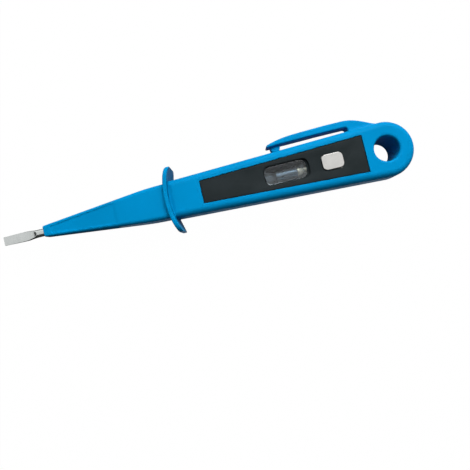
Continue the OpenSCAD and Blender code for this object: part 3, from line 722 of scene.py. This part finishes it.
blade_steel = polished(
    "blade_steel", (0.64, 0.67, 0.66), (0.72, 0.75, 0.74), (0.16, 0.24), 0.5, (3, 0.25, 1), 0.0004)
resistor_coat = moulded("resistor_coat", (0.30, 0.19, 0.10), (0.38, 0.26, 0.15), 2.5, 0.15, (0.45, 0.6), 0.01)


# The moulded body: one skin, parted where the clip bends. Its grid is finer at the ring and the clip's root,
# at the guard, at the blade's wings and at the sleeve's end, and everything is held inside the CAD's box.

body_x = steps(-10.2, (14, 0.32), (71, 0.5), (82, 0.25), (89.7, 0.7), (95.1, 0.3), (122, 0.8), (125.2, 0.25))
body_y = steps(-14.4, (12.3, 0.3))
body_z = steps(-0.35, (14.7, 0.3))
points, quads = skin(body, body_x, body_y, body_z)
points = np.clip(points, [housing_low[0], clip_low[1], housing_low[2]], housing_high)

part_back, arm_overrun = 1, 1
part_x = (slot_x + clip_root_x) / 2 - part_back
middles = points[quads].mean(1)
on_arm = (middles[:, 0] > part_x) & (-middles[:, 1] > handle_half(middles[:, 0]) + nub_gap / 2)
on_arm &= middles[:, 0] < clip_high[0] + arm_overrun


def moulded_piece(name, chosen, rides, replaced):
    """Some of the body's faces as a piece, closed where it is parted from the rest."""
    used, faces = np.unique(quads[chosen], return_inverse=True)
    piece = add_piece(
        name, points[used], faces.reshape(-1, 4), blue_plastic, "body_blue", rides, replaced)
    mesh = bmesh.new()
    mesh.from_mesh(piece.data)
    bmesh.ops.holes_fill(mesh, edges=[e for e in mesh.edges if e.is_boundary], sides=0)
    bmesh.ops.dissolve_degenerate(mesh, edges=mesh.edges, dist=1e-7)
    mesh.to_mesh(piece.data)
    mesh.free()
    piece.data.set_sharp_from_angle(angle=math.radians(sharp_angle))
    return piece


moulded_piece("housing_shell", ~on_arm, "housing", ["housing"])
clip_shell = moulded_piece("clip_shell", on_arm, None, ["pocket_clip"])
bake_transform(clip_shell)

# Cover plate
window_mid = (lens_low[0] + lens_high[0]) / 2
window_l = lens_high[0] - lens_low[0] - 2 * lens_flange_w
window_w = lens_high[1] - lens_low[1] - 2 * lens_flange_w


def cover_outline(inset):
    start, end = cover_low[0] + inset, cover_high[0] - inset
    corners = [(start, -1), (end, -1), (end, 1), (start, 1)]
    return [(px, side * (cover_half(px) - inset)) for px, side in corners]


def opening(middle, length, width, r):
    return lambda inset: rounded_outline(length - 2 * inset, width - 2 * inset, r - inset) + (middle, 0)


cover_levels = [(0, cover_under), (0, cover_high[2] - cover_edge)]
cover_levels += [
    (cover_edge * (1 - math.cos(a)), cover_high[2] - cover_edge * (1 - math.sin(a)))
    for a in np.radians((30, 60, 90))
]
cover_shape = plate(
    cover_outline,
    [
        opening(window_mid, window_l, window_w, window_r),
        opening(button_mid, button_l + 2 * button_gap, button_w + 2 * button_gap, button_r + button_gap),
    ],
    cover_levels,
)

# Window lens: a flange under the cover and a raised head with a low dome. A dark lip of the cover
# runs round the head, wide at the ring end.
lens_shoulder = lens_low[2] + lens_flange_t
head_mid = window_mid + (lens_end_gap - lens_gap) / 2
head_l = window_l - lens_gap - lens_end_gap
head_w = window_w - 2 * lens_gap
lip_shape = plate(
    opening(window_mid, window_l + cover_edge, window_w + cover_edge, window_r + cover_edge / 2),
    [opening(head_mid, head_l + seat_gap, head_w + seat_gap, window_r - lens_gap)],
    lip_levels,
)
add_piece(
    "cover_face", *join(cover_shape, lip_shape), cover_plastic, "cover_grey", "housing", ["cover_plate"])


def lens_ring(length, width, r, middle, z):
    return [(px + middle, py, z) for px, py in rounded_outline(length, width, r)]


edge_share, edge_drop = 0.9, 0.1


def dome_drop(share):
    """How far the lens's dome lies under its top, at a share of its half width."""
    past_edge = max(0, share - edge_share) / (1 - edge_share)
    return lens_sag * share * share + edge_drop * past_edge ** 2


dome_shares = (0.995, 0.97, 0.94, 0.9, 0.83, 0.75, 0.66, 0.56, 0.45, 0.33, 0.2, 0.08)
dome_levels = [(0, lens_shoulder), (0, lens_high[2] - lens_sag - lens_edge)]
dome_levels += [(head_w / 2 * (1 - share), lens_high[2] - dome_drop(share)) for share in dome_shares]
flange_size = (
    window_l + 2 * lens_flange_w, window_w + 2 * lens_flange_w, window_r + lens_flange_w, window_mid)
lens_rings = [lens_ring(*flange_size, lens_low[2]), lens_ring(*flange_size, lens_shoulder)]
lens_rings += [
    lens_ring(head_l - 2 * inset, head_w - 2 * inset, max(window_r - lens_gap - inset, least_r), head_mid, z)
    for inset, z in dome_levels
]
add_piece("lens_clear", *loft(lens_rings), lens_plastic, "lens_clear", "housing", ["window_lens"])

# Touch button: a head with rounded edges on a flange, and the stem that centres the spring
button_top = button_high[2]
flange_under = cover_under - seat_gap - flange_t
flange_top = flange_under + flange_t
head_levels = [
    (-flange_w + flange_chamfer, flange_under), (-flange_w, flange_under + flange_chamfer),
    (-flange_w, flange_top - flange_chamfer), (-flange_w + flange_chamfer, flange_top), (0, flange_top),
]
head_levels += [
    (head_round * (1 - c), button_top - head_crown_drop - head_round * (1 - s))
    for c, s in arc(0, 0, 1, 0, 90, 5)
]
head_levels += [(inset, button_top - drop) for inset, drop in head_crown]
head_shape = loft([
    [(px + button_mid, py, z) for px, py in rounded_outline(
        button_l - 2 * inset, button_w - 2 * inset, max(button_r - inset, least_r))]
    for inset, z in head_levels
])
stem_levels = [
    (stem_chamfer, button_low[2]), (0, button_low[2] + stem_chamfer), (0, flange_under + stem_overlap),
]
stem_shape = loft([
    [(px, py, z) for px, py in arc(button_mid, 0, stem_r - inset, 0, 350, 35)] for inset, z in stem_levels
])
add_piece(
    "touch_pad", *join(head_shape, stem_shape), button_metal, "button_metal",
    "contact_button", ["contact_button"])

# Lamp: a glass tube that necks in before its sealed bead, between two pressed caps
glass_r = (glass_high[2] - glass_low[2]) / 2
glass_wall = 0.4
glass_neck_r, glass_neck_l = 1.75, 1.8
glass_chamfer = 0.15
neck_steps = 16
inner_sink = 1.2
bead_wall_share = 1.5
bead_mid = glass_high[0] - glass_r


def neck_r(k):
    """The glass's radius at step k of its neck."""
    return lerp(glass_neck_r, glass_r, (1 + math.cos(2 * math.pi * k / neck_steps)) / 2)


outer_profile = [(glass_low[0], glass_r - glass_chamfer), (glass_low[0] + glass_chamfer, glass_r)]
outer_profile += [
    (electrode_high[0] + glass_neck_l * k / neck_steps, neck_r(k)) for k in range(neck_steps + 1)
]
outer_profile += [
    (bead_mid + glass_r * math.sin(a), glass_r * math.cos(a)) for a in np.radians(range(0, 90, 9))
]
inner_start, inner_end = rear_cap_high[0] - inner_sink, glass_high[0] - glass_wall * bead_wall_share
inner_profile = [(inner_start, axis_r), (inner_start, glass_r - glass_wall)]
inner_profile += [
    (px, max(r - glass_wall, axis_r)) for px, r in outer_profile if inner_start < px < inner_end
]
inner_points, inner_faces = revolve(inner_profile)
glass_shape = join(
    revolve(outer_profile + [(glass_high[0], axis_r)]), (inner_points, [f[::-1] for f in inner_faces]))
add_piece("lamp_tube", *glass_shape, lamp_glass, "lamp_glass", "housing", ["lamp_glass"])


cap_wall, cap_fit, cap_round, mouth_lip = 0.25, 0.02, 0.35, 0.04
# The rolled mouth, as (distance from the mouth, depth under the outer radius)
mouth_roll = [(0.5, 0), (0.35, 0.06), (0.2, 0.02), (0.06, 0.03), (0, 0.12)]


def cap_profile(closed, mouth, outer_r):
    """A pressed cap from its closed end to its rolled mouth."""
    way = 1 if mouth > closed else -1
    bottom, inner_r = closed + way * (cap_wall + cap_fit), outer_r - cap_wall + cap_fit
    profile = [(closed, axis_r), (closed, outer_r - cap_round)]
    profile += [
        (closed + way * cap_round * (1 - s), outer_r - cap_round * (1 - c))
        for c, s in arc(0, 0, 1, 90, 0, 5)[1:]
    ]
    profile += [(mouth - way * back, outer_r - depth) for back, depth in mouth_roll]
    profile += [(mouth - way * mouth_lip, inner_r), (bottom, inner_r), (bottom, axis_r)]
    return profile if way > 0 else profile[::-1]


cap_r = (rear_cap_high[2] - rear_cap_low[2]) / 2
for name, closed, mouth, material, slot, node in (
    ("cap_behind_lamp", rear_cap_low[0], rear_cap_high[0], cap_brass, "cap_brass", "lamp_rear_cap"),
    ("cap_before_lamp", front_cap_high[0], front_cap_low[0], front_cap_tin, "cap_tin", "lamp_front_cap"),
):
    add_piece(name, *revolve(cap_profile(closed, mouth, cap_r)), material, slot, "housing", [node])

# Springs
button_wire, contact_wire = 0.4, 0.45
button_turns, contact_turns = 6, 9
return_shape = coil(
    (button_mid, 0, button_spring_low[2]), (0, 0, 1), button_spring_high[2] - button_spring_low[2],
    button_spring_high[1] - button_spring_low[1], button_wire, button_turns)
return_coil = add_piece(
    "return_coil", *return_shape, spring_steel, "spring_steel", "housing", ["button_spring"])
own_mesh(return_coil)
contact_shape = coil(
    (contact_spring_low[0], 0, axis_z), (1, 0, 0), contact_spring_high[0] - contact_spring_low[0],
    contact_spring_high[1] - contact_spring_low[1], contact_wire, contact_turns)
add_piece("contact_coil", *contact_shape, spring_steel, "spring_steel", "housing", ["contact_spring"])

# Blade: a round shank that swells towards the tip, hollow-ground on both faces and trimmed at its edges
blade_start, blade_end = blade_low[0], blade_high[0]
bore_end = guard_x - 2 * guard_t
head_r, head_t = 1.7, 0.8
stub_r = 1
tip_half_w, tip_half_t = 1.55, 0.275
widest_r, widest_l = 1.75, 8.3
ground_l = 12.7
hollow_share, shoulder_power = 0.7, 16


def blade(x, y, z):
    from_axis = np.hypot(y, z - axis_z)
    ground_x, widest_x = blade_end - ground_l, blade_end - widest_l
    swell = (1 - np.cos(np.pi * np.clip((x - ground_x) / (widest_x - ground_x), 0, 1))) / 2
    shank = np.maximum(from_axis - lerp(shank_r, widest_r, swell), bore_end - head_t / 2 - x)
    left = 1 - np.clip((x - ground_x) / ground_l, 0, 1)
    hollow = hollow_share * left ** 2 + (1 - hollow_share) * left ** shoulder_power
    face = np.abs(z - axis_z) - lerp(tip_half_t, shank_r, hollow)
    edge = np.abs(y) - lerp(tip_half_w, widest_r, np.clip((blade_end - x) / widest_l, 0, 1))
    forged = np.where(x > ground_x, both(shank, face, fine_edge), shank)
    forged = np.where(x > widest_x, both(forged, edge, fine_edge), forged)
    shape = np.minimum(both(forged, x - blade_end, fine_edge), anchor_wings(x, y, z, 0))
    head = np.maximum(from_axis - head_r, np.abs(x - bore_end + head_t / 2) - head_t / 2)
    stub = np.maximum(from_axis - stub_r, np.maximum(blade_start - x, x - bore_end))
    return np.minimum(shape, np.minimum(head, stub))


blade_x = steps(
    blade_start - 0.3, (73.3, 0.2), (89.8, 3), (94.8, 0.5), (123.4, 3), (blade_end - 0.8, 0.13),
    (blade_end + 0.2, 0.1))
blade_y = steps(-2.35, (2.35, 0.1))
blade_z = steps(axis_z - 1.85, (axis_z + 1.85, 0.1))
blade_shape = skin(blade, blade_x, blade_y, blade_z)
add_piece("blade_ground", *blade_shape, blade_steel, "blade_steel", "housing", ["blade"], sharp=28)

# CAD nodes that keep their own solid
for node, material in (
    ("contact_strip", strip_brass), ("lamp_electrodes", electrode_nickel), ("resistor_rod", resistor_coat),
    ("resistor_rear_cap", cap_tin), ("resistor_front_cap", cap_tin), ("lamp_cradle", cradle_plastic),
):
    frame["nodes"][node].data.materials.clear()
    frame["nodes"][node].data.materials.append(material)

# Camera at the photograph's place
camera_place = (56.5154, 23.9468, 146.4665)
camera_turn = (2.6878, 1.2534, 166.8121)
camera_data = bpy.data.cameras.new("camera")
camera_data.sensor_width = 36
camera_data.lens = 29.9055
camera_data.clip_start = 0.01
camera = bpy.data.objects.new("camera", camera_data)
camera.location = [c * MM for c in camera_place]
camera.rotation_euler = Euler([math.radians(a) for a in camera_turn])
bpy.context.scene.collection.objects.link(camera)
bpy.context.scene.camera = camera


# Floor, world and lamps

def seen_directly(nodes, links):
    """One for rays that show the backdrop: straight from the camera, or off gloss or through glass."""
    path = nodes.new("ShaderNodeLightPath")
    total = path.outputs["Is Camera Ray"]
    for name in ("Is Glossy Ray", "Is Transmission Ray"):
        add = nodes.new("ShaderNodeMath")
        add.operation = "MAXIMUM"
        links.new(total, add.inputs[0])
        links.new(path.outputs[name], add.inputs[1])
        total = add.outputs[0]
    return total


def white_glow(nodes, strength):
    glow = nodes.new("ShaderNodeEmission")
    glow.inputs["Color"].default_value = (1, 1, 1, 1)
    glow.inputs["Strength"].default_value = strength
    return glow.outputs["Emission"]


floor_z = -0.00002
floor_size = 3.0
floor_glow, floor_glow_share = 1.025, 0.97
floor_shade_reach = 0.04


def make_floor():
    """A floor that shows white, with a little shade, and with painted shade in gloss close to the part."""
    mesh = bpy.data.meshes.new("floor")
    corners = [(-1, -1), (1, -1), (1, 1), (-1, 1)]
    mesh.from_pydata([(a * floor_size, b * floor_size, floor_z) for a, b in corners], [], [(0, 1, 2, 3)])
    floor = bpy.data.objects.new("floor", mesh)
    bpy.context.scene.collection.objects.link(floor)
    material = bpy.data.materials.new("floor_white")
    material.use_nodes = True
    nodes, links = material.node_tree.nodes, material.node_tree.links
    shader = nodes["Principled BSDF"]
    shader.inputs["Base Color"].default_value = (0.2, 0.2, 0.2, 1)
    shader.inputs["Roughness"].default_value = 0.8
    shader.inputs["Specular IOR Level"].default_value = 0.0
    mix = nodes.new("ShaderNodeMixShader")
    share = nodes.new("ShaderNodeMath")
    share.operation = "MULTIPLY"
    share.inputs[1].default_value = floor_glow_share
    # Painted shade: near the part, the glow that gloss and glass see is dimmed by ambient occlusion.
    open_sky = nodes.new("ShaderNodeAmbientOcclusion")
    open_sky.inputs["Distance"].default_value = floor_shade_reach
    path = nodes.new("ShaderNodeLightPath")
    openness = nodes.new("ShaderNodeMix")
    links.new(path.outputs["Is Camera Ray"], openness.inputs["Factor"])
    links.new(open_sky.outputs["AO"], openness.inputs["A"])
    openness.inputs["B"].default_value = 1.0
    shaded = nodes.new("ShaderNodeMath")
    shaded.operation = "MULTIPLY"
    links.new(seen_directly(nodes, links), shaded.inputs[0])
    links.new(openness.outputs["Result"], shaded.inputs[1])
    links.new(shaded.outputs[0], share.inputs[0])
    links.new(share.outputs[0], mix.inputs["Fac"])
    links.new(shader.outputs["BSDF"], mix.inputs[1])
    links.new(white_glow(nodes, floor_glow), mix.inputs[2])
    links.new(mix.outputs["Shader"], nodes["Material Output"].inputs["Surface"])
    mesh.materials.append(material)


def make_world():
    """A dim even light on the part, and a white sky, greyer overhead, for what shows the backdrop."""
    world = bpy.data.worlds.new("studio")
    world.use_nodes = True
    nodes, links = world.node_tree.nodes, world.node_tree.links
    soft = nodes["Background"]
    soft.inputs["Color"].default_value = (1, 1, 1, 1)
    soft.inputs["Strength"].default_value = 0.10
    white = nodes.new("ShaderNodeBackground")
    white.inputs["Strength"].default_value = 1.0
    direction = nodes.new("ShaderNodeTexCoord")
    height = nodes.new("ShaderNodeSeparateXYZ")
    shade = nodes.new("ShaderNodeMapRange")
    shade.interpolation_type = "SMOOTHSTEP"
    shade.inputs["From Min"].default_value = 0.05
    shade.inputs["From Max"].default_value = 0.95
    shade.inputs["To Min"].default_value = 1.0
    shade.inputs["To Max"].default_value = 0.8
    links.new(direction.outputs["Generated"], height.inputs["Vector"])
    links.new(height.outputs["Z"], shade.inputs["Value"])
    links.new(shade.outputs["Result"], white.inputs["Color"])
    mix = nodes.new("ShaderNodeMixShader")
    links.new(seen_directly(nodes, links), mix.inputs["Fac"])
    links.new(soft.outputs["Background"], mix.inputs[1])
    links.new(white.outputs["Background"], mix.inputs[2])
    links.new(mix.outputs["Shader"], nodes["World Output"].inputs["Surface"])
    bpy.context.scene.world = world


def add_lamp(name, place, target, size, power):
    """A square lamp that gloss doesn't show and whose light doesn't bounce on, so that hollows stay dark."""
    data = bpy.data.lights.new(name, "AREA")
    data.size = size
    data.energy = power
    lamp = bpy.data.objects.new(name, data)
    lamp.location = place
    lamp.rotation_euler = (Vector(target) - Vector(place)).to_track_quat("-Z", "Y").to_euler()
    lamp.visible_glossy = False
    data.cycles.max_bounces = 0
    bpy.context.scene.collection.objects.link(lamp)


def add_card(name, corner, across, up, shade):
    """A card seen only in gloss: dark ones give polished metal its dark edges, a bright one its glint.

    It is given by a corner and its two sides from there, in metres."""
    corner, across, up = (np.array(v, float) for v in (corner, across, up))
    corners = [corner, corner + across, corner + across + up, corner + up]
    mesh = bpy.data.meshes.new(name)
    mesh.from_pydata([tuple(c) for c in corners], [], [(0, 1, 2, 3)])
    card = bpy.data.objects.new(name, mesh)
    bpy.context.scene.collection.objects.link(card)
    material = bpy.data.materials.new(name)
    material.use_nodes = True
    nodes, links = material.node_tree.nodes, material.node_tree.links
    links.new(white_glow(nodes, shade), nodes["Material Output"].inputs["Surface"])
    mesh.materials.append(material)
    for ray in ("camera", "diffuse", "transmission", "volume_scatter", "shadow"):
        setattr(card, "visible_" + ray, False)


make_floor()
make_world()
glint, flag = 3.0, 0.04
add_card("key_glint", (-0.33, -0.45, 0.38), (0.33, 0, 0), (0, 0, 0.24), glint)
add_card("near_flag", (-0.3, 0.25, 0), (0.7, 0, 0), (0, 0, 0.34), flag)
add_card("end_flag", (0.45, 0.25, 0), (0, -0.5, 0), (0, 0, 0.25), flag)
add_card("low_flag", (0.1, -0.03, floor_z / 2), (0.35, 0, 0), (0, 0.28, 0), flag)
part_middle = (0.065, 0, 0.006)
add_lamp("key", (-0.16, -0.45, 0.50), part_middle, 0.45, 3.8)
add_lamp("overhead", (-0.05, -0.36, 0.56), part_middle, 0.6, 2.0)

bpy.context.scene.view_settings.view_transform = "Standard"
